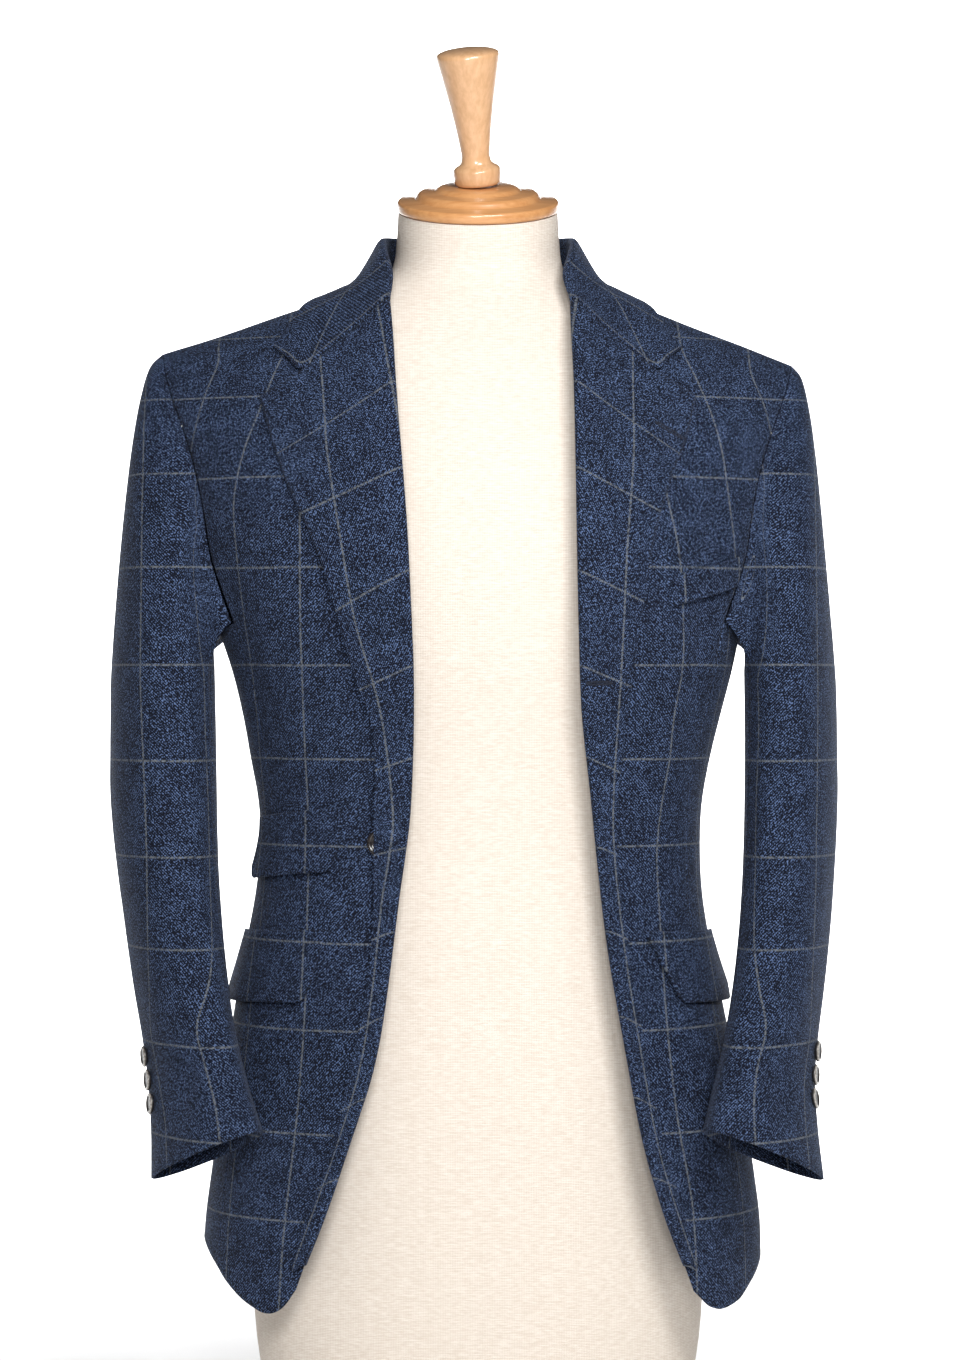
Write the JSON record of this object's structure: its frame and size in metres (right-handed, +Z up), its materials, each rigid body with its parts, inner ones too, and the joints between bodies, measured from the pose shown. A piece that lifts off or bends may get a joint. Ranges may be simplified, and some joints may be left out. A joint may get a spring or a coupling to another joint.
{
  "type": "blazer on a dress form",
  "caption": "Single-breasted notch-lapel blazer in windowpane wool, worn open on a limbless dress form with a turned wooden finial.",
  "frame": {"origin": "centre of the dress form's flat underside, on the floor", "axes": "+Z up, the garment's front faces -Y, the wearer's left is +X"},
  "size_m": [0.54, 0.3078, 1.0027],
  "materials": {
    "blue_wool": "woollen twill, blue melange with a pale windowpane check",
    "horn_pale": "polished, four holes",
    "horn_dark": "polished",
    "canvas": "plain linen canvas",
    "beech": "clear lacquer"
  },
  "bodies": {
    "root": {"front_right": "blue_wool", "side_right": "blue_wool", "back_right": "blue_wool", "lapel_right": "blue_wool", "top_sleeve_right": "blue_wool", "under_sleeve_right": "blue_wool", "front_left": "blue_wool", "side_left": "blue_wool", "back_left": "blue_wool", "lapel_left": "blue_wool", "top_sleeve_left": "blue_wool", "under_sleeve_left": "blue_wool", "collar": "blue_wool", "ticket_flap_right": "blue_wool", "hip_flap_right": "blue_wool", "hip_flap_left": "blue_wool", "breast_welt": "blue_wool", "front_button": "horn_dark", "cuff_button_right_1": "horn_pale", "cuff_button_right_2": "horn_pale", "cuff_button_right_3": "horn_pale", "cuff_button_left_1": "horn_pale", "cuff_button_left_2": "horn_pale", "cuff_button_left_3": "horn_pale", "form_torso": "canvas", "neck_cap": "beech", "finial": "beech"}
  },
  "joints": []
}
